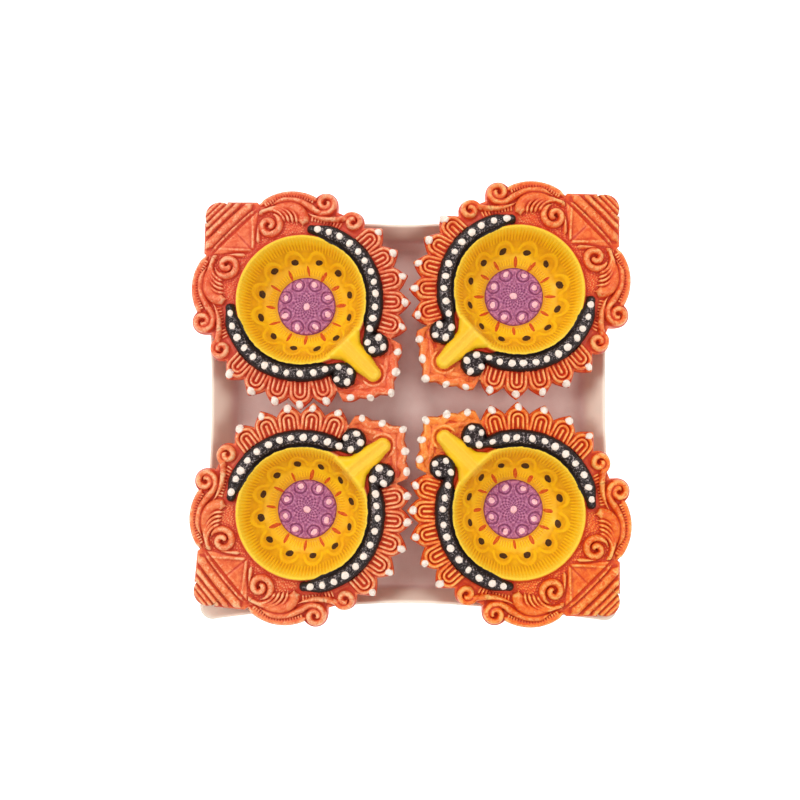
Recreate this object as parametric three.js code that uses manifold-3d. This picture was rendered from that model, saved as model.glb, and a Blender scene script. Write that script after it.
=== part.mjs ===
// A set of four painted clay diya oil lamps standing in a shallow card tray.
// Millimetres, +Z up, origin at the centre of the tray's underside. Each lamp is one moulded
// piece of clay: a scalloped plate on a round foot, a bowl for the oil, two beaded rails, a
// spout for the wick, and a carved back with a pleated corner and scrolls.
import * as THREE from "three";
import { mergeVertices } from "three/addons/utils/BufferGeometryUtils.js";
import Module from "manifold-3d";

const wasm = await Module();
wasm.setup();

// Tray: a flat floor with four low walls that lean outwards and bow in at their middles.
const TRAY = {
  floorHalf: 70.8, // half the floor's side, at the fold
  topHalfX: 77.5, // half the width between the walls' top edges, at mid side
  topHalfY: 74.5,
  topCorner: 81, // the same near the corners
  cornerR: 5,
  height: 13,
  board: 1,
  bow: 1.6, // how flat the middles of the sides are
};

// Lamp heights above its foot.
const Z = {
  plateUnder: 14.5,
  plateTop: 20.5,
  rim: 23.4,
  rail: 24.6,
  spout: 23.8,
  back: 22.6,
  bowlFloor: 8,
  medallion: 9,
};

// Lamp radii and widths, from the bowl's axis.
const FOOT_R = 21.5,
  UNDER_R = 30,
  BOWL_R = 22.6, // inside the rim
  RIM_R = 25, // outside the rim
  MEDALLION_R = 11.3,
  RAIL_R = 28.7, // the rails' centre line
  RAIL_W = 5.4,
  RAIL_BACK = 50, // degrees from the back corner where a rail starts
  RAIL_FRONT = 164, // and where its hook starts
  HOOK_R = 3.5,
  HOOK_TURN = 215,
  SPOUT_END = 39.4, // centre of the spout's round end
  SPOUT_W = 6.2,
  GROOVE_W = 2.4,
  GROOVE_DEPTH = 1.4;

// Plate outline: what reaches furthest at each angle from the back corner.
const EDGE = {
  disc: 37.4,
  petal: { first: 91.8, pitch: 14.4, count: 5, tip: 41.9 },
  lobe: { at: 34, centre: 24.2, r: 19.4 }, // the large scroll
  curls: [
    { at: 57.5, centre: 38.8, r: 4.8 },
    { at: 76.7, centre: 36.2, r: 4.5 },
  ],
  corner: { reach: 55, fillet: 5.6, end: 19.6 }, // the square back corner
  front: { reach: 50.6, slope: 55, lobe: 9, end: 22.5, scallop: 1 }, // the spout's corner
};
const EDGE_STEP = 1.8; // degrees between the outline's points

const BOSS_ROOT = Z.plateTop - 1; // what stands on the plate starts inside it
const PLEATS = 4; // on the back corner
const SCROLL = {
  at: 21, // its eye, from the back corner
  centre: 30.8,
  inner: 1,
  outer: 5.2,
  start: -200,
  turns: 450,
  crescents: [
    { r: 8, width: 1.6 },
    { r: 11, width: 2.2 },
  ],
};

const LIFT_GAP = 0.3; // between a lamp's foot and the tray's floor

// Bowl centres, and the direction of each back corner in degrees from +X.
const LAMPS = [
  { name: "lamp_back_left", x: -40.5, y: 42.2, back: 134.2 },
  { name: "lamp_back_right", x: 42.5, y: 45.9, back: 43.5 },
  { name: "lamp_front_left", x: -39.7, y: -38.6, back: 219.7 },
  { name: "lamp_front_right", x: 41.6, y: -38.5, back: 314.4 },
];

const CARD = new THREE.MeshStandardMaterial({ color: 0xe6d2c4, roughness: 0.75, metalness: 0 });
const CLAY = new THREE.MeshStandardMaterial({ color: 0xd8552a, roughness: 0.45, metalness: 0 });

const sin = (degrees) => Math.sin(THREE.MathUtils.degToRad(degrees));
const cos = (degrees) => Math.cos(THREE.MathUtils.degToRad(degrees));

// A closed geometry as a solid, and a solid as a geometry.
function solid(geometry) {
  const g = geometry.clone();
  g.deleteAttribute("normal");
  g.deleteAttribute("uv");
  const merged = mergeVertices(g, 1e-4);
  return new wasm.Manifold(
    new wasm.Mesh({
      numProp: 3,
      vertProperties: new Float32Array(merged.attributes.position.array),
      triVerts: new Uint32Array(merged.index.array),
    }),
  );
}

function geometry(made) {
  const m = made.getMesh();
  const g = new THREE.BufferGeometry();
  g.setAttribute("position", new THREE.BufferAttribute(new Float32Array(m.vertProperties), 3));
  g.setIndex(new THREE.BufferAttribute(new Uint32Array(m.triVerts), 1));
  const flat = g.toNonIndexed();
  flat.computeVertexNormals();
  return flat;
}

// A profile of [r, z] points turned about Z.
function turned(profile, segments) {
  const points = profile.map(([r, z]) => new THREE.Vector2(r, z));
  const g = new THREE.LatheGeometry(points, segments);
  g.rotateX(Math.PI / 2);
  return solid(g);
}

// A closed outline of Vector2 points, from z = low to z = high.
function slab(points, low, high) {
  const g = new THREE.ExtrudeGeometry(new THREE.Shape(points), {
    depth: high - low,
    bevelEnabled: false,
  });
  g.translate(0, 0, low);
  return solid(g);
}

// A point at a distance from the bowl's axis and an angle from the back corner, which is +Y.
// side is 1 for the lamp's right half and -1 for its left.
function polar(r, angle, side = 1) {
  return new THREE.Vector2(side * r * sin(angle), r * cos(angle));
}

// Where a ray at `angle` leaves a circle whose centre lies at (centre, at), or 0 if it misses.
function circleReach(angle, { at, centre, r }) {
  const off = centre * sin(angle - at);
  return Math.abs(off) < r && Math.abs(angle - at) < 90
    ? centre * cos(angle - at) + Math.sqrt(r * r - off * off)
    : 0;
}

function petalReach(angle) {
  const { first, pitch, count, tip } = EDGE.petal;
  const k = Math.round((angle - first) / pitch);
  if (k < 0 || k >= count) return 0;
  const away = Math.abs(angle - first - k * pitch) / (pitch / 2);
  return EDGE.disc + (tip - EDGE.disc) * Math.pow(Math.max(0, 1 - away), 0.85);
}

function cornerReach(angle) {
  const { reach, fillet, end } = EDGE.corner;
  if (angle > end) return 0;
  const centre = reach - fillet * Math.SQRT2;
  const straight = reach / (sin(angle) + cos(angle));
  return Math.min(straight, circleReach(angle, { at: 0, centre, r: fillet }) || straight);
}

function frontReach(angle) {
  const { reach, slope, lobe, end, scallop } = EDGE.front;
  const away = 180 - angle;
  if (away > end) return 0;
  const straight = (reach * sin(slope)) / sin(away + slope);
  return straight - scallop * (1 - Math.abs(cos((away / lobe) * 180)));
}

// Distance from the bowl's axis to the plate's edge.
function plateReach(angle) {
  return Math.max(
    EDGE.disc,
    petalReach(angle),
    cornerReach(angle),
    frontReach(angle),
    circleReach(angle, EDGE.lobe),
    ...EDGE.curls.map((curl) => circleReach(angle, curl)),
  );
}

function plateOutline() {
  const points = [];
  for (let angle = -180; angle < 180 - EDGE_STEP / 2; angle += EDGE_STEP) {
    const r = plateReach(Math.abs(angle));
    points.push(new THREE.Vector2(-r * sin(angle), r * cos(angle)));
  }
  return points;
}

// A strip of varying width along a list of Vector2 points, from z = low to z = high.
function strip(path, widthAt, low, high) {
  const left = [];
  const right = [];
  path.forEach((p, i) => {
    const before = path[Math.max(0, i - 1)];
    const after = path[Math.min(path.length - 1, i + 1)];
    const along = after.clone().sub(before).normalize();
    const half = widthAt(i / (path.length - 1)) / 2;
    const out = new THREE.Vector2(-along.y, along.x).multiplyScalar(half);
    left.push(p.clone().add(out));
    right.push(p.clone().sub(out));
  });
  return slab([...left, ...right.reverse()], low, high);
}

// The rail round the lamp's right side: an arc, then a hook that curls away from the spout.
function railPath() {
  const points = [];
  const arcSteps = 14;
  for (let i = 0; i <= arcSteps; i++)
    points.push(polar(RAIL_R, RAIL_BACK + ((RAIL_FRONT - RAIL_BACK) * i) / arcSteps));
  const end = points[arcSteps];
  const centre = polar(RAIL_R + HOOK_R, RAIL_FRONT);
  const hookSteps = 9;
  for (let i = 1; i <= hookSteps; i++) {
    const turn = THREE.MathUtils.degToRad((HOOK_TURN * i) / hookSteps);
    points.push(end.clone().rotateAround(centre, turn));
  }
  return points;
}

// A bar along -Y with a round end, as the spout and its groove are.
function tongue(from, to, width, low, high) {
  const r = width / 2;
  const points = [new THREE.Vector2(-r, -from), new THREE.Vector2(-r, -to)];
  for (let turn = 30; turn < 180; turn += 30)
    points.push(new THREE.Vector2(-r * cos(turn), -to - r * sin(turn)));
  points.push(new THREE.Vector2(r, -to), new THREE.Vector2(r, -from));
  return slab(points, low, high);
}

// The square back corner's pleats, which run across the lamp's axis.
function pleats() {
  const inner = RIM_R + 1;
  const pitch = (EDGE.corner.reach - inner) / (PLEATS + 2);
  const made = [];
  for (let i = 1; i <= PLEATS; i++) {
    const y = inner + pitch * (i + 0.6);
    const half = Math.min(y - inner, EDGE.corner.reach - y) - 1;
    const path = [-half, 0, half].map((x) => new THREE.Vector2(x, y));
    made.push(strip(path, (t) => pitch * (0.4 + 0.4 * sin(180 * t)), BOSS_ROOT, Z.back));
  }
  return made;
}

// Points round `centre`, from one turn to another in degrees, as the radius runs from r0 to r1.
function curl(centre, r0, r1, from, to, step) {
  const points = [];
  for (let turn = from; turn <= to; turn += step) {
    const r = r0 + ((r1 - r0) * (turn - from)) / (to - from);
    points.push(new THREE.Vector2(centre.x + r * sin(turn), centre.y + r * cos(turn)));
  }
  return points;
}

// The right side's large scroll: a spiral round its eye, and two crescents outside it.
function scroll() {
  const { at, centre, inner, outer, start, turns, crescents } = SCROLL;
  const eye = polar(centre, at);
  const spiral = curl(eye, inner, outer, start, start + turns, 30);
  const made = [strip(spiral, (t) => 0.9 + 0.7 * t, BOSS_ROOT, Z.back)];
  for (const { r, width } of crescents) {
    const path = curl(eye, r, r, 20, 120, 20);
    made.push(strip(path, (t) => 0.5 + width * sin(180 * t), BOSS_ROOT, Z.back));
  }
  return made;
}

function petalBoss(at) {
  const points = [
    [33.4, -4.4],
    [36.6, -3.6],
    [38.4, 0],
    [36.6, 3.6],
    [33.4, 4.4],
  ].map(([r, off]) => polar(r, at + off));
  return slab(points, BOSS_ROOT, Z.plateTop + 1);
}

// Everything raised on the plate's right half, which the left half mirrors.
function sideRelief() {
  const railWidth = (t) => RAIL_W * Math.min(1, 0.55 + 2.5 * t);
  const made = [strip(railPath(), railWidth, BOSS_ROOT, Z.rail), ...scroll()];
  for (const { at, centre, r } of EDGE.curls) {
    const knob = curl(polar(centre, at), 0.8 * r, 0.8 * r, 0, 337.5, 22.5);
    made.push(slab(knob.reverse(), BOSS_ROOT, Z.back));
  }
  for (let k = 0; k < EDGE.petal.count; k++)
    made.push(petalBoss(EDGE.petal.first + k * EDGE.petal.pitch));
  return made;
}

function lampSolid() {
  const body = turned(
    [
      [0, 0],
      [FOOT_R, 0],
      [UNDER_R, Z.plateUnder + 1],
      [0, Z.plateUnder + 1],
    ],
    48,
  );
  const rim = turned(
    [
      [0, BOSS_ROOT],
      [RIM_R, BOSS_ROOT],
      [RIM_R, Z.rim - 0.8],
      [RIM_R - 0.8, Z.rim],
      [0, Z.rim],
    ],
    60,
  );
  const spout = tongue(RIM_R - 5, SPOUT_END, SPOUT_W, BOSS_ROOT, Z.spout);
  const relief = sideRelief();
  const otherSide = relief.map((made) => made.mirror([1, 0, 0]));
  const bowl = turned(
    [
      [0, Z.bowlFloor],
      [MEDALLION_R + 0.8, Z.bowlFloor],
      [15.5, 9.6],
      [19, 13.4],
      [21.6, 18.6],
      [BOWL_R, Z.rim],
      [BOWL_R, Z.rim + 6],
      [0, Z.rim + 6],
    ],
    60,
  );
  const groove = tongue(16, SPOUT_END - 0.6, GROOVE_W, Z.spout - GROOVE_DEPTH, Z.rim + 6);
  const medallion = turned(
    [
      [0, Z.bowlFloor - 1],
      [MEDALLION_R, Z.bowlFloor - 1],
      [MEDALLION_R, Z.medallion],
      [0, Z.medallion],
    ],
    48,
  );
  const plate = slab(plateOutline(), Z.plateUnder, Z.plateTop);
  return wasm.Manifold.union([body, plate, rim, spout, ...pleats(), ...relief, ...otherSide])
    .subtract(bowl)
    .subtract(groove)
    .add(medallion);
}

// One level of the tray: a rounded square whose sides lie at halfX and halfY in their middles
// and at `corner` near the corners.
function trayRing(halfX, halfY, corner, z) {
  const sideSteps = 8;
  const straight = corner - TRAY.cornerR;
  const roundEnd = new THREE.Vector2(-straight, straight);
  const ring = [];
  for (let side = 0; side < 4; side++) {
    const half = side % 2 === 0 ? halfY : halfX;
    const points = [];
    for (let i = 0; i <= sideSteps; i++) {
      const s = 1 - (2 * i) / sideSteps;
      const out = half + (corner - half) * Math.abs(s) ** TRAY.bow;
      points.push(new THREE.Vector2(s * straight, out));
    }
    for (const turn of [30, 60]) points.push(polar(TRAY.cornerR, -turn).add(roundEnd));
    for (const p of points) {
      p.rotateAround(new THREE.Vector2(), (side * Math.PI) / 2);
      ring.push(new THREE.Vector3(p.x, p.y, z));
    }
  }
  return ring;
}

// A closed body through rings of equal count, with a fan across the first ring and the last.
function loft(rings) {
  const count = rings[0].length;
  const first = rings[0];
  const last = rings[rings.length - 1];
  const triangles = [];
  for (let i = 0; i < count; i++) {
    const j = (i + 1) % count;
    triangles.push([new THREE.Vector3(0, 0, first[0].z), first[j], first[i]]);
    for (let k = 0; k + 1 < rings.length; k++) {
      const [a, b] = [rings[k], rings[k + 1]];
      triangles.push([a[i], a[j], b[j]], [a[i], b[j], b[i]]);
    }
    triangles.push([new THREE.Vector3(0, 0, last[0].z), last[i], last[j]]);
  }
  return solid(new THREE.BufferGeometry().setFromPoints(triangles.flat()));
}

function traySolid() {
  const { floorHalf, topHalfX, topHalfY, topCorner, height, board } = TRAY;
  const inside = floorHalf - board;
  return loft([
    trayRing(floorHalf, floorHalf, floorHalf, 0),
    trayRing(topHalfX, topHalfY, topCorner, height),
    trayRing(topHalfX - board, topHalfY - board, topCorner - board, height),
    trayRing(inside, inside, inside, board),
  ]);
}

function mesh(name, made, material) {
  const m = new THREE.Mesh(geometry(made), material);
  m.name = name;
  return m;
}

const set = new THREE.Group();
set.add(mesh("card_tray", traySolid(), CARD));
const lamp = lampSolid();
for (const { name, x, y, back } of LAMPS) {
  const placed = mesh(name, lamp, CLAY);
  placed.position.set(x, y, TRAY.board + LIFT_GAP);
  placed.rotation.z = THREE.MathUtils.degToRad(back - 90);
  set.add(placed);
}

export default set;
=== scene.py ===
"""Four painted clay diya oil lamps in a shallow card tray, seen from almost straight above.

Each lamp is one closed mesh: a grid of spokes and rings round the bowl's axis, whose height comes
from the bowl's profile plus ridges, spirals, petals and beads. Its paint is one procedural
material, guided by signed distances to the edges of the painted zones that are stored on the
mesh. The dots, eyes and strokes are thick touches of paint, in meshes of their own.

Lengths are millimetres until a mesh is made. A lamp's own frame has its bowl's axis at the
origin, its foot at z = 0 and its back corner towards +Y; phi is the angle from +Y.
"""

import math
import random

import bpy
import numpy as np
from mathutils import Matrix, Vector


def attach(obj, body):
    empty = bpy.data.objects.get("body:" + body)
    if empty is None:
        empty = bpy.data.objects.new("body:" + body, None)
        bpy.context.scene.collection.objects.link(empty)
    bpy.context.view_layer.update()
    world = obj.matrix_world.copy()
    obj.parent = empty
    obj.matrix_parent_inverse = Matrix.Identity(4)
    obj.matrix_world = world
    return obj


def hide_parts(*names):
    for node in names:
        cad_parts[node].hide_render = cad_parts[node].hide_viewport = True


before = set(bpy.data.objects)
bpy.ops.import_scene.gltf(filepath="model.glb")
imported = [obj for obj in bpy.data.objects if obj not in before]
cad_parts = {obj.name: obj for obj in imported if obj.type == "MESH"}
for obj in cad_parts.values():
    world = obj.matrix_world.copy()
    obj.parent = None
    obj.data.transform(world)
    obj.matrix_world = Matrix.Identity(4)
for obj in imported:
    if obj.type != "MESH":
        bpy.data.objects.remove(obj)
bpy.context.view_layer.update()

MM = 0.001
LAMPS = ("back_left", "back_right", "front_left", "front_right")
SEED = 11  # the back left lamp's; each lamp after it has the next

# Grid of a lamp's top: spokes all round, rings on the medallion, and rings inside and outside
# the bowl's rim.
SPOKES = 720
RINGS_MEDALLION = 25
RINGS_IN = 54
RINGS_OUT = 70

# Main sizes of a lamp.
RIM_R = 25.0
MEDALLION_R = 11.7
PLATE_UNDER = 14.6  # height of the plate's underside
UNDER_R = 30.0  # where that underside meets the body
FOOT_R = 21.5
SPOUT_END = 39.4
SPOUT_HALF = 3.0
TONGUE_START = 20.6  # where the spout's tongue begins inside the bowl
RAIL_Z = 20.5  # level that the black rail stands on
TOP_Z = 24.5  # no part of the clay rises above this
EDGE_ROUND = 1.3  # radius of the plate's upper edge

# Rings of paint in the bowl.
EYES, EYE_RING = 12, 17.9
PINK_DOTS, PINK_RING = 8, 9.1
STROKE_RING = 13.9
FAR = 9.0  # stands for any distance beyond the painted zones

# Plate outline: what reaches furthest at each angle from the back corner.
DISC_R = 37.4
PETAL_FIRST, PETAL_PITCH, PETALS, PETAL_TIP = 91.8, 14.4, 5, 41.9
CORNER_REACH, CORNER_FILLET, CORNER_END = 55.0, 5.6, 19.6
FRONT_REACH, FRONT_SLOPE, FRONT_LOBE, FRONT_END, FRONT_SCALLOP = 50.6, 55.0, 9.0, 22.5, 1.0
LOBES = ((34.0, 24.2, 19.4), (57.5, 38.8, 4.8), (76.7, 36.2, 4.5))  # angle, centre, radius

# Bowl and plate: radius and height, joined by straight lines whose corners are then rounded.
PROFILE = (
    (0, 9.3), (8, 9.3), (11.0, 9.0), (11.8, 8.2), (12.5, 8.3), (15, 9.5), (17, 10.9), (19, 13.1),
    (20.6, 15.6), (22.0, 18.4), (23.0, 20.6), (23.8, 22.2), (24.5, 23.1), (25.0, 23.0),
    (25.4, 22.1), (26.0, 21.0), (31.0, 20.7), (33.0, 20.4), (60.0, 19.6),
)  # fmt: skip
PROFILE_STEP, PROFILE_ROUND = 0.05, 0.35  # sampling, and the width of that rounding

# The side below the top's edge, as drops and insets from that edge; then the underside, the body
# and the foot, as radius and height.
SIDE = ((0.5, -0.05), (1.6, 0.05), (3.0, 0.3), (4.4, 0.7))
UNDER_INSET = 1.4
UNDERSIDE = (
    (34.0, 14.5), (UNDER_R, 14.2), (28.6, 12.0), (25.4, 6.0), (22.2, 1.0), (FOOT_R, 0.0),
    (19.0, 0.0), (18.4, 0.6), (8.0, 0.7),
)  # fmt: skip

# Centre lines on the right half, listed here; splines run through them.
RAIL = (
    (21.7, 17.0), (23.8, 14.0), (26.3, 9.7), (27.9, 4.4), (28.4, -1.0), (27.7, -6.6),
    (25.8, -12.0), (22.8, -16.9), (18.9, -21.2), (14.6, -24.4), (10.6, -26.6), (7.2, -28.8),
    (5.6, -31.6), (6.6, -34.4), (9.3, -35.1), (11.4, -33.3), (11.2, -30.9),
)  # fmt: skip
RAIL_HALF = 3.0
HOOK, HOOK_R = (8.6, -32.1), 4.6
S_BORDER = ((17.6, 35.4), (22.0, 33.4), (25.6, 29.6), (27.4, 25.2), (28.2, 21.2), (29.0, 19.2))
BRANCH = ((24.9, 25.0), (25.9, 21.0), (28.2, 16.8), (31.0, 13.8))
EYE = (11.2, 30.0)
EYE_ROUND = 6.2  # radius of the first strand round the eye
LEAF = ((13.6, 35.2), (18.4, 33.4), (21.9, 30.2), (23.6, 26.6), (23.0, 23.2), (20.6, 20.9))
STRANDS = (0.0, 0.22, 0.44, 0.66)  # places between the first strand and the leaf
SIDE_LEAF = ((3.0, 27.4), (5.2, 30.0), (7.4, 32.6), (9.4, 35.2))

# The square back corner: where it starts, how fast it widens, the groove across it, and beyond
# that groove its pleats. A rib runs along each edge between groove and bowl.
BLOCK_START, BLOCK_SPREAD, BLOCK_GROOVE = 26.4, 0.86, 37.6
RIB = ((1.0, 28.3), (9.8, 38.0))
PLEATS = (  # y, half width, height
    (38.9, 0.55, 1.0), (41.4, 1.75, 1.6), (44.7, 1.15, 1.5), (47.0, 0.95, 1.4), (49.0, 0.8, 1.2),
    (50.7, 0.65, 0.9),
)  # fmt: skip


def sin_d(a):
    return np.sin(np.radians(a))


def cos_d(a):
    return np.cos(np.radians(a))


def polar(r, phi):
    return r * sin_d(phi), r * cos_d(phi)


def smooth(x, low, high):
    """0 below low, 1 above high and an S-shaped rise between them."""
    t = np.clip((x - low) / (high - low), 0, 1)
    return t * t * (3 - 2 * t)


# ---------------------------------------------------------------- the plate's outline


def circle_reach(phi, at, centre, r):
    """How far a circle reaches along the ray at phi, or 0 where the ray misses it."""
    off = centre * sin_d(phi - at)
    inside = np.sqrt(np.clip(r * r - off * off, 0, None))
    hit = (np.abs(off) < r) & (np.abs(phi - at) < 90)
    return np.where(hit, centre * cos_d(phi - at) + inside, 0)


def plate_reach(phi):
    """Distance from the axis to the plate's edge, for phi from 0 to 180."""
    k = np.clip(np.round((phi - PETAL_FIRST) / PETAL_PITCH), 0, PETALS - 1)
    away = np.abs(phi - PETAL_FIRST - k * PETAL_PITCH) / (PETAL_PITCH / 2)
    petal = DISC_R + (PETAL_TIP - DISC_R) * np.clip(1 - away, 0, 1) ** 0.85
    straight = CORNER_REACH / (sin_d(phi) + cos_d(np.minimum(phi, 90)))
    fillet = circle_reach(phi, 0, CORNER_REACH - CORNER_FILLET * math.sqrt(2), CORNER_FILLET)
    corner = np.where(fillet > 0, np.minimum(straight, fillet), straight)
    corner = np.where(phi < CORNER_END, corner, 0)
    back = 180 - phi
    front = FRONT_REACH * sin_d(FRONT_SLOPE) / sin_d(back + FRONT_SLOPE)
    front = front - FRONT_SCALLOP * (1 - np.abs(cos_d(back / FRONT_LOBE * 180)))
    front = np.where(back < FRONT_END, front, 0)
    reach = np.maximum.reduce([np.full_like(phi, DISC_R), petal, corner, front])
    for at, centre, r in LOBES:
        reach = np.maximum(reach, circle_reach(phi, at, centre, r))
    return reach


# ---------------------------------------------------------------- ridges


def spline(points, steps=8):
    """Catmull-Rom through the points."""
    p = np.array(points, float)
    p = np.vstack([2 * p[0] - p[1], p, 2 * p[-1] - p[-2]])
    made = []
    for i in range(1, len(p) - 2):
        t = np.linspace(0, 1, steps, endpoint=False)[:, None]
        a, b, c, d = p[i - 1], p[i], p[i + 1], p[i + 2]
        made.append(0.5 * (2 * b + (c - a) * t + (2 * a - 5 * b + 4 * c - d) * t**2
                           + (3 * b - a - 3 * c + d) * t**3))  # fmt: skip
    return np.vstack(made + [p[-2:-1]])


def along(path, x, y, margin):
    """Distance from each point to the path and how far along it that is, from 0 to 1.
    Points further than margin from the path's box are left out."""
    low, high = path.min(0) - margin, path.max(0) + margin
    near = np.nonzero((x > low[0]) & (x < high[0]) & (y > low[1]) & (y < high[1]))
    px, py = x[near][:, None], y[near][:, None]
    a, b = path[:-1], path[1:]
    d = b - a
    length = np.hypot(d[:, 0], d[:, 1])
    t = ((px - a[:, 0]) * d[:, 0] + (py - a[:, 1]) * d[:, 1]) / length**2
    t = np.clip(t, 0, 1)
    dist = np.hypot(px - a[:, 0] - t * d[:, 0], py - a[:, 1] - t * d[:, 1])
    best = dist.argmin(1)
    rows = np.arange(len(best))
    start = np.concatenate([[0], np.cumsum(length)])
    s = (start[best] + t[rows, best] * length[best]) / start[-1]
    return near, dist[rows, best], s


def ridge(relief, x, y, path, half, height, taper=(0.0, 0.0), power=0.6, swell=None):
    """Raises a rounded ridge along the path, keeping what is already higher. Taper is the share
    of the path over which each end thins out."""
    near, dist, s = along(path, x, y, half * 2.5)
    w = np.ones_like(s)
    if taper[0]:
        w *= smooth(s, -0.02, taper[0])
    if taper[1]:
        w *= smooth(1 - s, -0.02, taper[1])
    wide = half * w * (1 if swell is None else swell(s))
    u = np.clip(dist / np.maximum(wide, 1e-3), 0, 1)
    bump = height * (0.35 + 0.65 * w) * (1 - u * u) ** power
    relief[near] = np.maximum(relief[near], bump)


def spiral(centre, r0, r1, start, turn, steps=60):
    """A path that winds through so many degrees while its radius goes from r0 to r1."""
    t = np.linspace(0, 1, steps)
    r = r0 + (r1 - r0) * t
    a = start + turn * t
    return np.stack([centre[0] + r * sin_d(a), centre[1] + r * cos_d(a)], 1)


def arch(at, half, foot, top):
    """A U that opens towards the bowl, round the ray at angle `at`."""
    turn = np.linspace(-90, 90, 13)
    across = np.concatenate([[-half], half * sin_d(turn), [half]])
    out = np.concatenate([[foot], top - half + half * cos_d(turn), [foot]])
    return np.stack([across * cos_d(at) + out * sin_d(at), out * cos_d(at) - across * sin_d(at)], 1)


def rail_half(s):
    """Half the rail's width along it: a blunt point, a wide band, then the narrower hook."""
    return RAIL_HALF * (0.62 + 0.38 * smooth(s, 0, 0.09)) * (1 - 0.38 * smooth(s, 0.66, 0.78))


def petal_relief(relief, x, y):
    """Each petal: two arches, one inside the other, a core and a raised tip."""
    for k in range(PETALS):
        at = PETAL_FIRST + k * PETAL_PITCH
        ridge(relief, x, y, arch(at, 3.45, 31.4, 38.9), 0.74, 1.5)
        ridge(relief, x, y, arch(at, 1.95, 31.6, 37.2), 0.62, 1.35)
        core = np.array([polar(31.8, at), polar(35.4, at)])
        ridge(relief, x, y, core, 0.6, 1.2)
        tip = np.array([polar(39.6, at), polar(41.0, at)])
        ridge(relief, x, y, tip, 1.5, 0.9)


def lobe_centre(lobe):
    at, centre, _ = lobe
    return polar(centre, at)


def snail(points, curl):
    """A path through the points that then winds into the curl."""
    return np.vstack([spline((*points, curl[0])), curl[1:]])


def strands():
    """Paths nested between the eye's curl and the leaf, from the block to the rail's start."""
    leaf = spline(LEAF)
    inner = spiral(EYE, EYE_ROUND, EYE_ROUND, -8, 130, len(leaf))
    return [inner * (1 - t) + leaf * t for t in STRANDS]


def scroll_relief(relief, x, y):
    """The lobes' scrolls: a border, an S that winds into the first curl, a branch that winds into
    the second, and the eye with its strands and leaves."""
    lobe, first, second = (lobe_centre(lobe) for lobe in LOBES)
    border = spiral(lobe, 18.2, 18.2, 2, 78)
    ridge(relief, x, y, border, 1.3, 1.6, taper=(0.1, 0.12))
    s_scroll = snail(S_BORDER, spiral(first, 3.6, 0.9, 215, -500))
    ridge(relief, x, y, s_scroll, 1.3, 2.3, taper=(0.12, 0.03))
    branch = snail(BRANCH, spiral(second, 3.4, 0.9, -20, 480))
    ridge(relief, x, y, branch, 1.25, 2.2, taper=(0.3, 0.03))
    for path in strands():
        ridge(relief, x, y, path, 0.74, 1.9, taper=(0.12, 0.1))
    ridge(relief, x, y, spline(LEAF), 2.1, 2.5, taper=(0.6, 0.08), power=0.5)
    ridge(relief, x, y, spiral(EYE, 0.2, 4.9, 250, -560), 1.35, 2.4, taper=(0.05, 0.2))
    ridge(relief, x, y, spline(SIDE_LEAF), 0.85, 1.7, taper=(0.2, 0.3))
    # short notches inside the border, and short ticks between the rail and the branch
    for turn in np.arange(8, 74, 3.6):
        notch = [np.add(lobe, polar(r, turn)) for r in (16.5, 17.3)]
        ridge(relief, x, y, np.array(notch), 0.45, 1.5)
    for phi in np.arange(51, 73, 2.2):
        tick = np.array([polar(31.3, phi), polar(33.4, phi)])
        ridge(relief, x, y, tick, 0.42, 0.9)


def block_fall(x, y):
    """Distance inside the square back corner, negative outside it."""
    front = y - BLOCK_START - np.abs(x) * BLOCK_SPREAD
    back = CORNER_REACH - y - np.abs(x)
    return np.minimum(front, back) / 1.37  # about the length of both edges' normals


def corner_relief(x, y):
    """The square back corner: pleats behind the groove, two facets before it, and the ribs."""
    relief = np.zeros_like(x)
    for at, half, height in PLEATS:
        reach = min(at - BLOCK_START, CORNER_REACH - at) - 0.7
        side = np.linspace(0, max(reach, 1.0), 9)
        path = np.stack([side, at - 0.003 * side**2], 1)
        ridge(relief, x, y, path, half, height, taper=(0, 0.2), power=0.5)
    facet = 0.4 + 0.05 * (y - 27) - 0.4 * np.exp(-((x / 0.4) ** 2))
    relief = np.where(y < BLOCK_GROOVE - 0.2, facet, relief)
    ridge(relief, x, y, np.array(RIB), 0.8, 1.3)
    groove = np.exp(-(((y - BLOCK_GROOVE) / 0.45) ** 2))
    return relief * (1 - 0.9 * groove) * smooth(block_fall(x, y), 0.0, 0.7)


def front_relief(relief, x, y):
    """The swelling front edge, and the bed that the spout's end lies in."""
    phi = np.linspace(155, 180.5, 24)
    wave = 0.35 * np.cos(np.radians(phi - 180) * 40)
    ridge(relief, x, y, np.stack(polar(plate_reach(phi) - 2.0 + wave, phi), 1), 1.7, 1.0)
    ridge(relief, x, y, np.stack(polar(plate_reach(phi) - 5.4 - wave, phi), 1), 1.1, 0.8)
    turn = np.linspace(0, 90, 9)
    wide = SPOUT_HALF + 1.5
    round_end = np.stack([wide * cos_d(turn), -SPOUT_END - wide * sin_d(turn)], 1)
    path = np.vstack([[(wide, -37.5)], round_end])
    ridge(relief, x, y, path, 0.8, 1.1, taper=(0.3, 0))


def stipple(r, phi, relief):
    """Fine bumps on the flat ground at the back, where no ridge stands."""
    bumps = np.cos(r * 4.6 + 2 * np.sin(phi * 0.9)) * np.cos(np.radians(phi) * 97 + r)
    bumps = np.clip(0.6 * bumps, 0, 1)
    return bumps * smooth(r, 25.6, 26.2) * (phi < 46) * smooth(relief, 0.5, 0.1)


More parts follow.
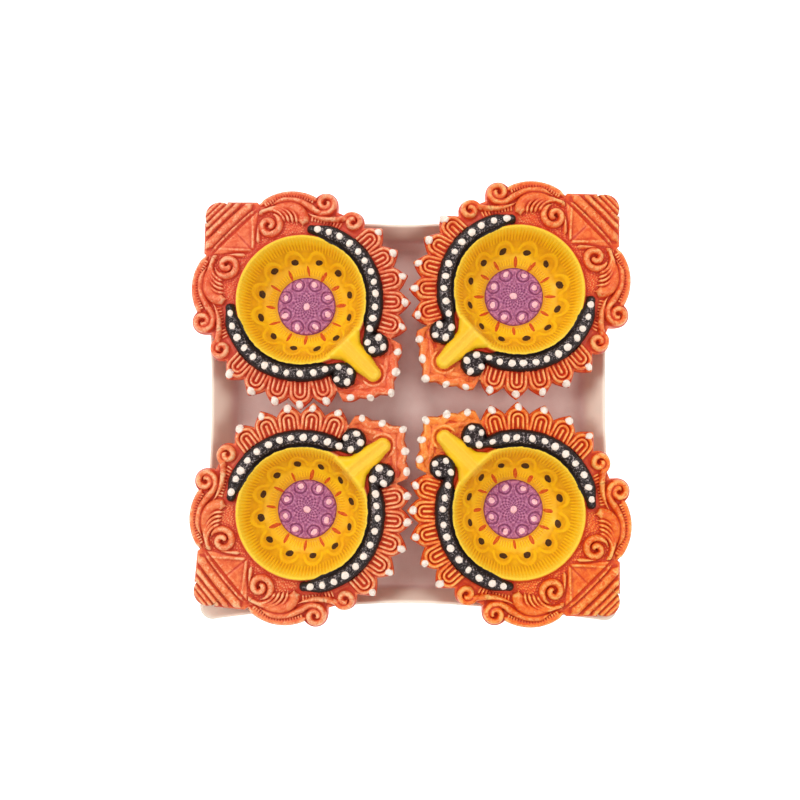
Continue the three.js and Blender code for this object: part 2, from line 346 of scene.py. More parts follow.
def bowl_relief(r, phi):
    """Low relief inside the bowl: two rings of flutes, arches round the eyes and the rings on
    the medallion."""
    flutes = 0.26 * np.cos(np.radians(phi * 112)) * smooth(r, 20.8, 21.4) * smooth(24.6 - r, 0, 0.8)
    flutes += 0.17 * np.cos(np.radians(phi * 84)) * smooth(r, 12.6, 13.2) * smooth(15.4 - r, 0, 1.2)
    pitch = 360 / EYES
    nearest_eye = np.round(phi / pitch) * pitch
    across = r * np.radians(phi - nearest_eye)
    out = r - EYE_RING
    ring = np.hypot(out / 2.7, across / 3.4)
    loop = np.exp(-(((ring - 1) / 0.15) ** 2)) * smooth(out, -1.2, 1.0) * 0.55
    eye = -0.5 * np.exp(-((out / 0.95) ** 2 + (across / 1.35) ** 2))
    pitch = 360 / PINK_DOTS
    nearest_dot = np.round((phi - pitch / 2) / pitch) * pitch + pitch / 2
    sx = r * sin_d(phi - nearest_dot)
    sy = r * cos_d(phi - nearest_dot) - PINK_RING
    d = np.hypot(sx, sy)
    scales = 0.3 * np.cos(d * math.tau / 1.6) * smooth(3.5 - d, 0, 0.4)
    middle = 0.25 * np.cos(r * math.tau / 1.7) * np.cos(np.radians(phi * 16))
    middle *= smooth(5.6 - r, 0, 0.5)
    medal = np.where(d < 3.5, scales, middle) * smooth(MEDALLION_R - 0.2 - r, 0, 0.6)
    return flutes + loop + eye + medal


def rail_shape(x, y, z):
    """Adds the beaded rail and the round end of its hook to the height z."""
    path = spline(RAIL)
    rail = np.zeros_like(x)
    ridge(rail, x, y, path, 1.0, 3.7, power=0.32, swell=rail_half)
    near, dist, s = along(path, x, y, 4)
    length = np.hypot(*np.diff(path, axis=0).T).sum()
    bead = np.abs(np.cos(s * length * math.pi / 1.5)) - 0.6
    rail[near] += np.where(rail[near] > 2, 0.35 * bead * np.exp(-((dist / 1.5) ** 2)), 0)
    hook = np.clip(np.hypot(x - HOOK[0], y - HOOK[1]) / HOOK_R, 0, 1)
    rail = np.maximum(rail, 3.3 * (1 - hook**4) ** 0.5)
    return np.where(rail > 0, np.maximum(z, RAIL_Z + rail), z)


def tongue_half(y):
    """Half the yellow tongue's width: a flare at the bowl, a neck, then the narrower spout."""
    return SPOUT_HALF + 1.6 * smooth(y, -40.0, -31.0) + 3.6 * smooth(y, -28.5, -22.5)


def spout_shape(x, y, z):
    """Adds the wick's tongue, with its groove between two lips, to the height z."""
    back = np.maximum(0, -y - SPOUT_END)
    across = np.hypot(x, back)
    half = tongue_half(y)
    u = np.clip(across / half, 0, 1)
    crown = 24.2 - 0.7 * smooth(-y, 24, 42) - 1.9 * u**5
    end = smooth(SPOUT_END + 1.8 + y, 0, 1.6)
    groove = 0.5 * np.exp(-((x / 0.8) ** 2)) * smooth(-y, 19, 23) * end
    lips = 0.3 * np.exp(-(((np.abs(x) - 1.7) / 0.5) ** 2)) * smooth(-y, 21, 25) * end
    tongue = crown - groove + lips
    into_bowl = smooth(-y, TONGUE_START, 23.4)
    on = (across < half) & (y < -TONGUE_START)
    return np.where(on, z * (1 - into_bowl) + np.maximum(z, tongue) * into_bowl, z)


def profile_height(r):
    """The profile's height at each radius, its corners rounded off."""
    fine = np.arange(-2, 62, PROFILE_STEP)
    knots = np.array(PROFILE, float)
    base = np.interp(np.abs(fine), knots[:, 0], knots[:, 1])
    kernel = np.exp(-((np.arange(-20, 21) * PROFILE_STEP / PROFILE_ROUND) ** 2))
    base = np.convolve(base, kernel / kernel.sum(), "same")
    return np.interp(r, fine, base)


class Surface:
    """The right half of a lamp's top on its grid of rings and spokes, with the paint's guides."""

    def __init__(self):
        self.phi = np.arange(SPOKES // 2 + 1) * 360 / SPOKES
        self.reach = plate_reach(self.phi)
        inner = np.concatenate([
            np.linspace(0.4, 11.5, RINGS_MEDALLION),
            np.linspace(11.85, RIM_R, RINGS_IN - RINGS_MEDALLION),
        ])  # fmt: skip
        step = np.linspace(0, 1, RINGS_OUT + 1)[1:]
        outer = RIM_R + (self.reach[None, :] - RIM_R) * step[:, None]
        self.r = np.vstack([np.repeat(inner[:, None], len(self.phi), 1), outer])
        self.x = self.r * sin_d(self.phi)
        self.y = self.r * cos_d(self.phi)
        self.z = self.shape_top()
        self.guides = self.paint_guides()

    def shape_top(self):
        x, y, r = self.x, self.y, self.r
        inside = r < RIM_R
        phi = np.broadcast_to(self.phi, r.shape)
        z = profile_height(r) + np.where(inside, bowl_relief(r, phi), 0)
        block = block_fall(x, y)
        relief = np.zeros_like(r)
        scroll_relief(relief, x, y)
        relief *= smooth(-block, -0.1, 0.5)
        relief = np.maximum(relief, corner_relief(x, y))
        petal_relief(relief, x, y)
        front_relief(relief, x, y)
        relief += stipple(r, phi, relief) * (block < 0)
        z = z + np.where(inside, 0, relief)
        z = rail_shape(x, y, z)
        z = spout_shape(x, y, z)
        edge = np.clip(1 - (self.reach - r) / EDGE_ROUND, 0, 1)
        z = z - EDGE_ROUND * (1 - np.sqrt(1 - edge**2))
        return np.minimum(z, TOP_Z)

    def paint_guides(self):
        """What the paint needs to know at each point, and the value on the rest of the lamp: signed
        distances in mm, negative inside the black, yellow and purple zones; the distance from the
        spout's line; crests and hollows of the relief, which place the painted shade in grooves and
        hollows as well as the gold; and how much gold it takes."""
        x, y, r = self.x, self.y, self.r
        near, dist, s = along(spline(RAIL), x, y, FAR)
        towards_bowl = 0.7 * (r[near] < 28.6) * smooth(0.74 - s, 0, 0.04) * smooth(s, 0.05, 0.12)
        black = np.full_like(r, FAR)
        black[near] = dist - rail_half(s) - towards_bowl
        black = np.minimum(black, np.hypot(x - HOOK[0], y - HOOK[1]) - HOOK_R)
        from_spout = np.hypot(x, np.maximum(0, -y - SPOUT_END))
        tongue = np.where(y < -20, from_spout - tongue_half(y), FAR)
        return {
            "black": (black, FAR),
            "yellow": (np.minimum(r - RIM_R - 0.1, tongue), FAR),
            "spout": (np.where(y < -20, from_spout, FAR), FAR),
            "purple": (r - MEDALLION_R, FAR),
            # these relief depths place painted shade in the grooves and hollows, and gold on the
            # crests
            "crest": ((self.z - blurred(self.z, 10)) / 0.3, 0.0),
            "shade_hollow": ((self.z - blurred(self.z, 60)) / 0.6, 0.0),
            "gilt": (self.gilding(), 0.0),
        }

    def gilding(self):
        """A little more gold on the petals, and most of it at the front edge."""
        phi = np.broadcast_to(self.phi, self.r.shape)
        petals = smooth(phi, 80, 86) * smooth(self.r, 32, 34)
        front = smooth(phi, 152, 158) * smooth(self.r, 33, 36)
        rest = np.full_like(self.r, 0.55)
        return np.maximum.reduce([rest, 0.6 * petals, 0.7 * front])

    def height(self, x, y):
        """The surface's height at points of the lamp's own frame."""
        r = np.hypot(x, y)
        phi = np.degrees(np.arctan2(np.abs(x), y))
        col = np.clip(phi * SPOKES / 360, 0, SPOKES / 2 - 1e-6)
        c0 = col.astype(int)
        f = col - c0
        z = []
        for c in (c0, c0 + 1):
            column = [np.interp(ri, self.r[:, ci], self.z[:, ci]) for ri, ci in zip(r, c)]
            z.append(np.array(column))
        return z[0] * (1 - f) + z[1] * f


def blurred(z, times):
    """The grid's values averaged with their neighbours so many times over."""
    for _ in range(times):
        wide = np.concatenate([z[:, 1:2], z, z[:, -2:-1]], 1)
        z = (wide[:, :-2] + 2 * z + wide[:, 2:]) / 4
        wide = np.concatenate([z[:1], z, z[-1:]], 0)
        z = (wide[:-2] + 2 * z + wide[2:]) / 4
    return z


def whole(half):
    """The other half of the spokes is the mirror of this one."""
    return np.concatenate([half, half[..., -2:0:-1]], -1)


def mesh_object(name, vertices, faces, material):
    """Vertices in metres."""
    mesh = bpy.data.meshes.new(name)
    mesh.from_pydata([tuple(v) for v in vertices], [], faces)
    mesh.validate()
    mesh.update()
    mesh.polygons.foreach_set("use_smooth", [True] * len(mesh.polygons))
    mesh.materials.append(material)
    obj = bpy.data.objects.new(name, mesh)
    bpy.context.scene.collection.objects.link(obj)
    return obj


def ring_faces(rings, count, first=0):
    """Quads between rings of so many points each, the first of which is numbered first."""
    faces = []
    for j in range(rings - 1):
        a = first + j * count
        for i in range(count):
            k = (i + 1) % count
            faces.append((a + i, a + count + i, a + count + k, a + k))
    return faces


def lamp_rings(surface):
    """All rings of a lamp, from the middle of the bowl over the edge to the middle of the foot."""
    phi = np.arange(SPOKES) * 360 / SPOKES
    reach = whole(surface.reach)
    edge_z = whole(surface.z[-1])
    r = [whole(surface.r)]
    z = [whole(surface.z)]
    for drop, inset in SIDE:
        r.append((reach - inset)[None])
        z.append((edge_z - drop)[None])
    r.append((reach - UNDER_INSET)[None])
    z.append(np.full((1, SPOKES), PLATE_UNDER))
    for ring_r, ring_z in UNDERSIDE:
        r.append(np.full((1, SPOKES), ring_r))
        z.append(np.full((1, SPOKES), ring_z))
    r = np.vstack(r)
    z = np.vstack(z)
    return r * sin_d(phi), r * cos_d(phi), z


def make_lamp(name, surface, material, to_world):
    x, y, z = lamp_rings(surface)
    rings, count = x.shape
    points = np.stack([x.ravel(), y.ravel(), z.ravel()], 1)
    middle_top = np.array([[0, 0, surface.z[0].mean()]])
    middle_foot = np.array([[0, 0, UNDERSIDE[-1][1]]])
    points = np.vstack([points, middle_top, middle_foot])
    faces = ring_faces(rings, count)
    top, foot = rings * count, rings * count + 1
    for i in range(count):
        k = (i + 1) % count
        faces.append((top, i, k))
        faces.append((foot, (rings - 1) * count + k, (rings - 1) * count + i))
    obj = mesh_object(name, to_world(points), [f[::-1] for f in faces], material)
    for guide, (on_top, elsewhere) in surface.guides.items():
        on_top = whole(on_top)
        values = np.full(len(points), elsewhere)
        values[: on_top.size] = on_top.ravel()
        values[top] = on_top[0, 0]
        attribute = obj.data.attributes.new(guide, "FLOAT", "POINT")
        attribute.data.foreach_set("value", values.astype(np.float32))
    return obj


# ---------------------------------------------------------------- touches of paint


# A touch's rings, as shares of its radius and thickness.
DOME = ((0.45, 0.86), (0.75, 0.62), (0.93, 0.32), (1.0, 0.0))
DOME_SIDES = 14
MOST_FALL = 0.9  # how far a touch's skirt may run down a slope below its middle
SKIRT_DEPTH, MIDDLE_DEPTH = 0.12, 0.35  # how deep its skirt and its underside's middle sink in


def touch(surface, x, y, long, short, angle, thick, rng):
    """A domed touch of paint on the surface: its vertices and its faces."""
    sides = DOME_SIDES
    wobble = [1 + rng.uniform(-0.07, 0.07) for _ in range(sides)]
    ca, sa = math.cos(angle), math.sin(angle)
    points = [(x, y, 1.0)]
    for size, lift in DOME:
        for i in range(sides):
            a = math.tau * i / sides
            u = long * size * wobble[i] * math.cos(a)
            v = short * size * wobble[i] * math.sin(a)
            points.append((x + u * ca - v * sa, y + u * sa + v * ca, lift))
    points = np.array(points)
    ground = surface.height(points[:, 0], points[:, 1])
    z = np.maximum(ground, ground[0] - MOST_FALL) + thick * points[:, 2]
    z[-sides:] = ground[-sides:] - SKIRT_DEPTH
    under = np.array([[x, y, ground[0] - MIDDLE_DEPTH]])
    vertices = np.vstack([np.stack([points[:, 0], points[:, 1], z], 1), under])
    faces = [(0, 1 + i, 1 + (i + 1) % sides) for i in range(sides)]
    faces += ring_faces(len(DOME), sides, first=1)
    last = 1 + (len(DOME) - 1) * sides
    bottom = len(vertices) - 1
    faces += [(bottom, last + (i + 1) % sides, last + i) for i in range(sides)]
    return vertices, faces


def touches(name, surface, spots, material, to_world, rng):
    """spots: x, y, long half, short half, angle in radians, thickness."""
    vertices, faces, count = [], [], 0
    for spot in spots:
        v, f = touch(surface, *spot, rng)
        vertices.append(v)
        faces += [tuple(i + count for i in face) for face in f]
        count += len(v)
    return mesh_object(name, to_world(np.vstack(vertices)), faces, material)


def white_spots(rng):
    """Dots along the black rails, on the petals' tips and round the front edge."""
    spots = []
    path = spline(RAIL, 24)
    length = np.concatenate([[0], np.cumsum(np.hypot(*np.diff(path, axis=0).T))])
    for side in (1, -1):
        count = rng.choice((15, 16))
        for k in range(count):
            s = 2.2 + (length[-1] - 2.4) * (k + rng.uniform(-0.1, 0.1)) / (count - 1)
            x = np.interp(s, length, path[:, 0]) + rng.uniform(-0.2, 0.2)
            y = np.interp(s, length, path[:, 1]) + rng.uniform(-0.2, 0.2)
            size = rng.uniform(1.3, 1.6)
            short = size * rng.uniform(0.8, 1)
            spots.append((side * x, y, size, short, rng.uniform(0, 3), 0.42))
        tips = [(39.8, PETAL_FIRST + k * PETAL_PITCH) for k in range(PETALS)]
        tips += [(42.0, 162.2), (45.4, 171.5)]
        if side == 1:
            tips.append((49.4, 180))
        for r, phi in tips:
            x, y = polar(r + rng.uniform(-0.4, 0.3), phi + rng.uniform(-0.6, 0.6))
            size = rng.uniform(1.5, 1.85)
            short = size * rng.uniform(0.78, 0.95)
            spots.append((side * x, y, size, short, rng.uniform(0, 3), 0.5))
    return spots


def pink_spots(rng):
    """A dot in the medallion's middle and a ring of dots round it."""
    spots = [(rng.uniform(-0.3, 0.3), rng.uniform(-0.3, 0.3), 1.55, 1.35, 0.5, 0.45)]
    for k in range(PINK_DOTS):
        r = PINK_RING + rng.uniform(-0.3, 0.3)
        x, y = polar(r, (k + 0.5) * 360 / PINK_DOTS + rng.uniform(-3, 3))
        long = rng.uniform(1.15, 1.6)
        short = rng.uniform(0.95, 1.25)
        spots.append((x, y, long, short, rng.uniform(0, 3), 0.4))
    return spots


def eye_spots(rng):
    """Flat ovals, each along the ring that they lie on."""
    spots = []
    for k in range(EYES):
        phi = k * 360 / EYES + rng.uniform(-2, 2)
        x, y = polar(EYE_RING + rng.uniform(-0.3, 0.4), phi)
        turn = -math.radians(phi) + rng.uniform(-0.35, 0.35)
        spots.append((x, y, rng.uniform(1.45, 1.8), rng.uniform(0.95, 1.2), turn, 0.12))
    return spots


def stroke_spots(rng):
    """Thin strokes between the eyes, each pointing away from the medallion."""
    spots = []
    for k in range(EYES):
        phi = (k + 0.5) * 360 / EYES + rng.uniform(-3, 3)
        x, y = polar(STROKE_RING + rng.uniform(-0.3, 0.4), phi)
        turn = math.radians(90 - phi) + rng.uniform(-0.25, 0.25)
        spots.append((x, y, rng.uniform(1.8, 2.6), rng.uniform(0.5, 0.9), turn, 0.1))
    return spots


# ---------------------------------------------------------------- materials


def linear(r, g, b):
    """An sRGB colour from 0 to 255 as the linear colour that a shader takes."""
    made = []
    for c in (r, g, b):
        c /= 255
        made.append(c / 12.92 if c < 0.04045 else ((c + 0.055) / 1.055) ** 2.4)
    return (*made, 1)


class Shader:
    """Short names for building a node tree round one Principled shader."""

    def __init__(self, name, roughness=0.5):
        self.material = bpy.data.materials.new(name)
        self.material.use_nodes = True
        self.nodes = self.material.node_tree.nodes
        self.links = self.material.node_tree.links
        self.surface = self.nodes["Principled BSDF"]
        self.surface.inputs["Roughness"].default_value = roughness
        coordinates = self.nodes.new("ShaderNodeTexCoord")
        self.place = coordinates.outputs["Object"]

    def put(self, value, socket):
        if isinstance(value, bpy.types.NodeSocket):
            self.links.new(value, socket)
        else:
            socket.default_value = value

    def attribute(self, name):
        node = self.nodes.new("ShaderNodeAttribute")
        node.attribute_name = name
        return node.outputs["Fac"]

    def noise(self, size_mm, detail=3.0, rough=0.55, warp=0.0):
        node = self.nodes.new("ShaderNodeTexNoise")
        node.inputs["Scale"].default_value = 1 / (size_mm * MM)
        node.inputs["Detail"].default_value = detail
        node.inputs["Roughness"].default_value = rough
        node.inputs["Distortion"].default_value = warp
        self.links.new(self.place, node.inputs["Vector"])
        return node.outputs["Fac"]

    def math(self, kind, a, b):
        node = self.nodes.new("ShaderNodeMath")
        node.operation = kind
        self.put(a, node.inputs[0])
        self.put(b, node.inputs[1])
        return node.outputs[0]

    def plus(self, a, b):
        return self.math("ADD", a, b)

    def times(self, a, b):
        return self.math("MULTIPLY", a, b)

    def about_zero(self, value):
        return self.math("SUBTRACT", value, 0.5)

    def ramp(self, value, low, high, to_low=0.0, to_high=1.0):
        node = self.nodes.new("ShaderNodeMapRange")
        node.interpolation_type = "SMOOTHSTEP"
        self.put(value, node.inputs["Value"])
        node.inputs["From Min"].default_value = low
        node.inputs["From Max"].default_value = high
        node.inputs["To Min"].default_value = to_low
        node.inputs["To Max"].default_value = to_high
        return node.outputs["Result"]

    def mix(self, factor, a, b):
        node = self.nodes.new("ShaderNodeMix")
        node.data_type = "RGBA"
        self.put(factor, node.inputs["Factor"])
        self.put(a, node.inputs[6])
        self.put(b, node.inputs[7])
        return node.outputs[2]

    def tint(self, colour, other, where, strength):
        """The colour, turned towards the other one where that applies."""
        return self.mix(self.times(where, strength), colour, other)

    def bump(self, height, depth_mm, before=None):
        node = self.nodes.new("ShaderNodeBump")
        node.inputs["Distance"].default_value = depth_mm * MM
        node.inputs["Strength"].default_value = 1.0
        self.links.new(height, node.inputs["Height"])
        if before is not None:
            self.links.new(before, node.inputs["Normal"])
        return node.outputs["Normal"]


YELLOW = (linear(251, 186, 6), linear(255, 200, 12))
# painted shade in the yellow's hollows, and painted highlight on what stands up
YELLOW_SHADE = linear(206, 128, 4)
YELLOW_HIGHLIGHT = linear(255, 214, 60)
YELLOW_SPOUT = linear(251, 200, 62)
PURPLE = (linear(150, 74, 122), linear(206, 132, 166))
# painted shade in the medallion's grooves
PURPLE_SHADE = linear(124, 52, 92)
BLACK = linear(28, 12, 9)
BLACK_FLECKS = linear(176, 158, 156)
WHITE = (linear(252, 240, 226), linear(244, 222, 204))
PINK = (linear(250, 200, 206), linear(240, 178, 190))
BROWN = (linear(58, 34, 8), linear(82, 50, 8))
RED = (linear(206, 68, 4), linear(220, 100, 10))
THIN = (0.6, 0.0)  # roughness and coat of the brown and red paint, which lies thin and dull
ZONE_EDGE = 0.12  # half the width of the blend from one paint to the next, in mm


def orange_paint(s, crest, speckle, deep, middle, light, bright, gold):
    """Mottled orange, with painted shade that darkens it towards the deep orange in the grooves and
    hollows; brighter at the front edge, with gold brushed in streaks over the crests."""
    gilt = s.attribute("gilt")
    orange = s.mix(s.ramp(s.noise(3, 4, 0.65, 0.8), 0.36, 0.64), middle, light)
    # painted shade: the orange is turned towards the deep orange in the wide hollows and the narrow
    # grooves of the relief
    low = s.plus(s.attribute("shade_hollow"), speckle)
    orange = s.tint(orange, deep, s.ramp(low, 0.1, -1.1), 0.35)
    groove = s.plus(crest, speckle)
    orange = s.tint(orange, deep, s.ramp(groove, 0.1, -0.8), 0.85)
    patches = s.ramp(s.noise(2.6, 4, 0.65, 0.8), 0.34, 0.6)
    orange = s.tint(orange, bright, s.times(s.ramp(gilt, 0.62, 0.7), patches), 0.75)
    streaks = s.times(s.about_zero(s.noise(1.3, 4, 0.7, 1.2)), 5.0)
    brushed = s.plus(s.plus(crest, streaks), s.times(gilt, 1.5))
    brushed = s.times(s.ramp(brushed, 1.2, 2.6), s.ramp(gilt, 0.4, 0.6, 0.75, 0.9))
    brushed = s.times(brushed, s.ramp(s.noise(4, 3), 0.3, 0.55, 0.3, 1.0))
    return s.mix(brushed, orange, gold)


def yellow_paint(s, crest, speckle, wobble):
    """Painted shade in the hollows and a painted highlight on what stands up; paler along the
    spout.
    """
    broad = s.ramp(s.noise(8, 3), 0.36, 0.64)
    yellow = s.mix(broad, *YELLOW)
    # painted shade in the hollows, then a painted highlight on the raised parts
    shade_hollow = s.ramp(s.plus(crest, s.times(speckle, 0.6)), 0.0, -1.0)
    yellow = s.tint(yellow, YELLOW_SHADE, shade_hollow, 0.6)
    yellow = s.tint(yellow, YELLOW_HIGHLIGHT, s.ramp(crest, 0.2, 1.6), 0.7)
    on_spout = s.ramp(s.plus(s.attribute("spout"), wobble), 3.4, 0.8)
    return s.tint(yellow, YELLOW_SPOUT, on_spout, 0.75)


def black_paint(s):
    """Black with pale flecks along the middle of the rail."""
    inside = s.ramp(s.attribute("black"), -0.8, -2.1)
    flecks = s.times(s.ramp(s.noise(0.8, 4, 0.8), 0.54, 0.61), inside)
    return s.mix(flecks, BLACK, BLACK_FLECKS)


def painted_clay(name, *oranges):
    """Hand-painted clay: orange, with the yellow bowl, its purple medallion and the black rails
    painted over it. The edge of each zone wavers a little."""
    s = Shader(name)
    crest = s.attribute("crest")
    wobble = s.times(s.about_zero(s.noise(2.2)), 0.9)
    fine = s.noise(0.9, 4, 0.7)
    speckle = s.about_zero(fine)
    purple = s.mix(s.ramp(fine, 0.35, 0.65), *PURPLE)
    # painted shade: the purple darkens in the medallion's grooves
    purple = s.mix(s.ramp(crest, -0.5, 0.3), PURPLE_SHADE, purple)
    colour = orange_paint(s, crest, speckle, *oranges)
    for zone, paint, waver in (
        ("yellow", yellow_paint(s, crest, speckle, wobble), 0.6),
        ("purple", purple, 0.4),
        ("black", black_paint(s), 1.0),
    ):
        distance = s.plus(s.attribute(zone), s.times(wobble, waver))
        colour = s.mix(s.ramp(distance, ZONE_EDGE, -ZONE_EDGE), colour, paint)
    s.links.new(colour, s.surface.inputs["Base Color"])
    s.links.new(s.ramp(fine, 0.3, 0.7, 0.34, 0.56), s.surface.inputs["Roughness"])
    s.surface.inputs["Specular IOR Level"].default_value = 0.3
    s.surface.inputs["Coat Weight"].default_value = 0.1
    s.surface.inputs["Coat Roughness"].default_value = 0.2
    rough = s.bump(s.noise(0.5, 4, 0.7), 0.08)
    s.links.new(s.bump(s.noise(1.6, 3), 0.2, rough), s.surface.inputs["Normal"])
    return s.material


def thick_paint(name, colour, shade, roughness=0.35, coat=0.3):
    """Paint of the dots, eyes and strokes, mottled between two shades."""
    s = Shader(name, roughness)
    mottled = s.mix(s.ramp(s.noise(0.8, 3), 0.35, 0.65), colour, shade)
    s.links.new(mottled, s.surface.inputs["Base Color"])
    s.surface.inputs["Coat Weight"].default_value = coat
    s.surface.inputs["Specular IOR Level"].default_value = 0.3
    s.surface.inputs["Coat Roughness"].default_value = 0.2
    s.links.new(s.bump(s.noise(0.6, 3), 0.06), s.surface.inputs["Normal"])
    return s.material


# the floor's colours hold painted shade and painted pink light reflected from the lamps
CARD_FLOOR_SHADE_AND_BOUNCE = (linear(244, 220, 210), linear(236, 206, 196))
CARD_WALL = linear(249, 233, 213)
CARD_FIBRES = linear(250, 240, 230)


def card(name):
    """Pale card, creamier up the walls, with fine fibres; the floor is pinker and darker, with
    painted light reflected from the lamps and painted shade.
    """
    s = Shader(name, 0.7)
    fibres = s.noise(0.35, 4, 0.7, 0.6)
    floor = s.mix(s.ramp(s.noise(14, 3), 0.35, 0.65), *CARD_FLOOR_SHADE_AND_BOUNCE)
    split = s.nodes.new("ShaderNodeSeparateXYZ")
    s.links.new(s.place, split.inputs[0])
    # painted shade and reflected light: the floor is pinker and darker than the walls, blending
    # into the walls' cream over their first few millimetres
    colour = s.mix(s.ramp(split.outputs["Z"], 1.5 * MM, 6 * MM), floor, CARD_WALL)
    colour = s.tint(colour, CARD_FIBRES, s.ramp(fibres, 0.4, 0.75), 0.4)
    s.links.new(colour, s.surface.inputs["Base Color"])
    s.links.new(s.bump(fibres, 0.05), s.surface.inputs["Normal"])
    return s.material


# ---------------------------------------------------------------- the tray

# Half the floor, half the width between the walls' tops in X and Y at mid side and near the
# corners, and the corners' radius.
TRAY_FLOOR, TRAY_X, TRAY_Y, TRAY_CORNER, TRAY_ROUND = 70.8, 77.5, 74.5, 81.0, 5.0
TRAY_HIGH, BOARD = 13.0, 1.0
BOW = 1.6  # how the sides curve in: 2 would be a parabola
FOLD = 0.5  # width of the bevel between floor and wall
CREST = 0.1  # how far the rounded top edge starts below the top
SIDE_STEPS, ROUND_STEPS = 48, 8


def tray_ring(half_x, half_y, corner):
    """One level of the tray: a rounded square whose sides lie nearer in their middles."""
    round_r = min(TRAY_ROUND, 0.5 * corner)
    straight = corner - round_r
    ring = []
    for turn in range(4):
        half = half_x if turn % 2 else half_y
        points = []
        for i in range(SIDE_STEPS + 1):
            t = 1 - 2 * i / SIDE_STEPS
            points.append((t * straight, half + (corner - half) * abs(t) ** BOW))
        for i in range(1, ROUND_STEPS):
            a = 90 * i / ROUND_STEPS
            points.append((-straight - round_r * sin_d(a), straight + round_r * cos_d(a)))
        c = round(math.cos(turn * math.pi / 2))
        s = round(math.sin(turn * math.pi / 2))
        ring += [(x * c - y * s, x * s + y * c) for x, y in points]
    return np.array(ring)


def make_tray(material):
    """Floor, leaning walls and a rounded top edge, as rings from the underside's middle."""
    levels = []  # half in X, half in Y, half at the corners, z

    def wall(t, inset, z):
        tops = (TRAY_X, TRAY_Y, TRAY_CORNER)
        levels.append((*(TRAY_FLOOR + (top - TRAY_FLOOR) * t - inset for top in tops), z))

    def floor(half, z):
        levels.append((half, half, half, z))

    for size in (0.3, 0.7, 0.96):
        floor(TRAY_FLOOR * size, 0.0)
    for t in (0.0, 0.04, 0.1, 0.3, 0.5, 0.7, 0.9, 0.97):
        wall(t, 0, TRAY_HIGH * t)
    wall(1, CREST, TRAY_HIGH - CREST)
    wall(1, BOARD / 2, TRAY_HIGH)
    wall(1, BOARD - CREST, TRAY_HIGH - CREST)
    for t in (0.97, 0.9, 0.7, 0.5, 0.3, 0.14):
        wall(t, BOARD, TRAY_HIGH * t)
    floor(TRAY_FLOOR - BOARD, BOARD + FOLD / 2)
    floor(TRAY_FLOOR - BOARD - FOLD, BOARD)
    for size in (0.94, 0.7, 0.3):
        floor(TRAY_FLOOR * size, BOARD)
    points = []
    for half_x, half_y, corner, z in levels:
        ring = tray_ring(half_x, half_y, corner)
        points.append(np.column_stack([ring, np.full(len(ring), z)]))
    count = len(points[0])
    rings = len(points)
    points = np.vstack(points + [[[0, 0, 0.0]], [[0, 0, BOARD]]])
    faces = [f[::-1] for f in ring_faces(rings, count)]
    under, over = rings * count, rings * count + 1
    for i in range(count):
        k = (i + 1) % count
        faces.append((under, k, i))
        faces.append((over, (rings - 1) * count + i, (rings - 1) * count + k))
    return mesh_object("tray", points * MM, faces, material)


# ---------------------------------------------------------------- assembly


def place_of(node):
    """From a lamp's CAD node: the axis of its foot, the foot's height and the back corner's
    direction, in mm and radians. That corner is the point furthest from the axis."""
    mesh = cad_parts[node].data
    points = np.empty(len(mesh.vertices) * 3)
    mesh.vertices.foreach_get("co", points)
    points = points.reshape(-1, 3) / MM
    foot = points[points[:, 2] < points[:, 2].min() + 0.01]
    x, y = (foot[:, :2].min(0) + foot[:, :2].max(0)) / 2
    away = points[:, :2] - (x, y)
    far = away[np.hypot(*away.T).argmax()]
    return x, y, points[:, 2].min(), math.atan2(far[1], far[0])


def world_from(place):
    """A function that takes points from the frame of a lamp at this place to the scene's metres."""
    x, y, low, back = place
    turn = back - math.pi / 2
    c, s = math.cos(turn), math.sin(turn)

    def to_world(p):
        east = x + p[:, 0] * c - p[:, 1] * s
        north = y + p[:, 0] * s + p[:, 1] * c
        return np.stack([east, north, p[:, 2] + low], 1) * MM

    return to_world


# The camera and its aim, in mm from the middle of the tray's underside; lens and sensor in mm.
CAMERA_PLACE, CAMERA_AIM = (1.3, -10.0, 300.0), (-2.8, 3.9, 24.0)
LENS, SENSOR = 32.85, 36
CLIP_START = 0.01  # metres

# Round soft lights at one height, all aimed at the tray. Metres and watts.
LIGHTS = (
    ("back", (-0.1, 0.75, 0.75), 3.2),
    ("left", (-0.7, 0.1, 0.75), 3.8),
    ("right", (0.7, -0.1, 0.75), 2.8),
    ("front", (0.1, -0.75, 0.75), 1.4),
)
LIGHT_SIZE = 0.4
WORLD_STRENGTH = 0.4
FLOOR_HALF, FLOOR_GAP = 3.0, 0.0002  # half its side, and how far it lies below the tray
FLOOR_GREY, FLOOR_GLOW = 0.9, 0.6


def make_camera():
    """Almost straight above the tray, its top edge towards the back."""
    data = bpy.data.cameras.new("camera")
    data.lens = LENS
    data.sensor_width = SENSOR
    data.clip_start = CLIP_START
    camera = bpy.data.objects.new("camera", data)
    bpy.context.scene.collection.objects.link(camera)
    camera.location = Vector(CAMERA_PLACE) * MM
    back = (camera.location - Vector(CAMERA_AIM) * MM).normalized()
    right = Vector((0, 1, 0)).cross(back).normalized()
    camera.rotation_euler = Matrix((right, back.cross(right), back)).transposed().to_euler()
    bpy.context.scene.camera = camera


def area_light(name, place, power):
    data = bpy.data.lights.new(name, "AREA")
    data.shape = "DISK"
    data.size = LIGHT_SIZE
    data.energy = power
    light = bpy.data.objects.new(name, data)
    bpy.context.scene.collection.objects.link(light)
    light.location = place
    light.rotation_euler = (-Vector(place)).to_track_quat("-Z", "Y").to_euler()


def floor_material():
    s = Shader("pale_floor", 0.9)
    s.surface.inputs["Base Color"].default_value = (FLOOR_GREY, FLOOR_GREY, FLOOR_GREY, 1)
    s.surface.inputs["Emission Color"].default_value = (1, 1, 1, 1)
    s.surface.inputs["Emission Strength"].default_value = FLOOR_GLOW
    return s.material


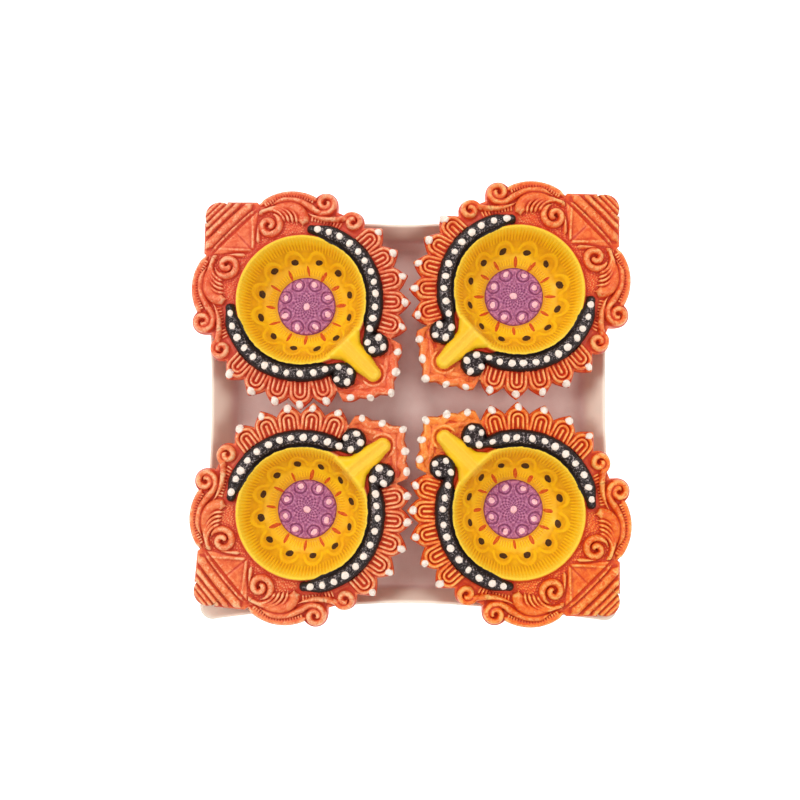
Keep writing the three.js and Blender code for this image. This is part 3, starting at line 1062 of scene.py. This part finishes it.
def make_studio():
    for light in LIGHTS:
        area_light(*light)
    world = bpy.data.worlds.new("studio")
    world.use_nodes = True
    background = world.node_tree.nodes["Background"]
    background.inputs["Color"].default_value = (1, 1, 1, 1)
    background.inputs["Strength"].default_value = WORLD_STRENGTH
    bpy.context.scene.world = world
    bpy.context.scene.view_settings.view_transform = "Standard"
    far = FLOOR_HALF
    corners = [(-far, -far, 0), (far, -far, 0), (far, far, 0), (-far, far, 0)]
    floor = mesh_object("floor", corners, [(0, 1, 2, 3)], floor_material())
    floor.location.z = -FLOOR_GAP


# A lamp's oranges: deep for the painted shade in the grooves, middle, light, bright at the front
# edge, brushed gold.
PAINTS = {
    "back_left": (
        (198, 52, 26), (226, 86, 46), (240, 122, 76), (234, 98, 48), (255, 190, 142),
    ),
    "back_right": (
        (198, 46, 14), (230, 84, 30), (244, 120, 56), (244, 130, 56), (255, 190, 118),
    ),
    "front_left": (
        (194, 48, 22), (230, 96, 48), (244, 132, 76), (234, 116, 58), (255, 200, 146),
    ),
    "front_right": (
        (198, 46, 4), (234, 88, 18), (248, 124, 40), (250, 148, 56), (255, 194, 106),
    ),
}  # fmt: skip


def make_lamps():
    """The four lamps, each with its white and pink dots, its eyes and its strokes."""
    surface = Surface()
    white = thick_paint("white_dots", *WHITE)
    pink = thick_paint("pink_dots", *PINK)
    brown = thick_paint("eye_paint", *BROWN, *THIN)
    red = thick_paint("stroke_paint", *RED, *THIN)
    for number, name in enumerate(LAMPS):
        node = "lamp_" + name
        to_world = world_from(place_of(node))
        clay = painted_clay("painted_clay_" + name, *(linear(*c) for c in PAINTS[name]))
        lamp = make_lamp("diya_" + name, surface, clay, to_world)
        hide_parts(node)
        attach(lamp, node)
        rng = random.Random(SEED + number)
        for kind, spots, paint, slot in (
            ("white_dots_", white_spots(rng), white, "white_paint"),
            ("pink_dots_", pink_spots(rng), pink, "pink_paint"),
            ("eyes_", eye_spots(rng), brown, "brown_paint"),
            ("strokes_", stroke_spots(rng), red, "red_paint"),
        ):
            piece = touches(kind + name, surface, spots, paint, to_world, rng)
            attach(piece, node)


make_camera()
make_studio()
tray = make_tray(card("pale_card"))
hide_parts("card_tray")
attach(tray, "tray")
make_lamps()
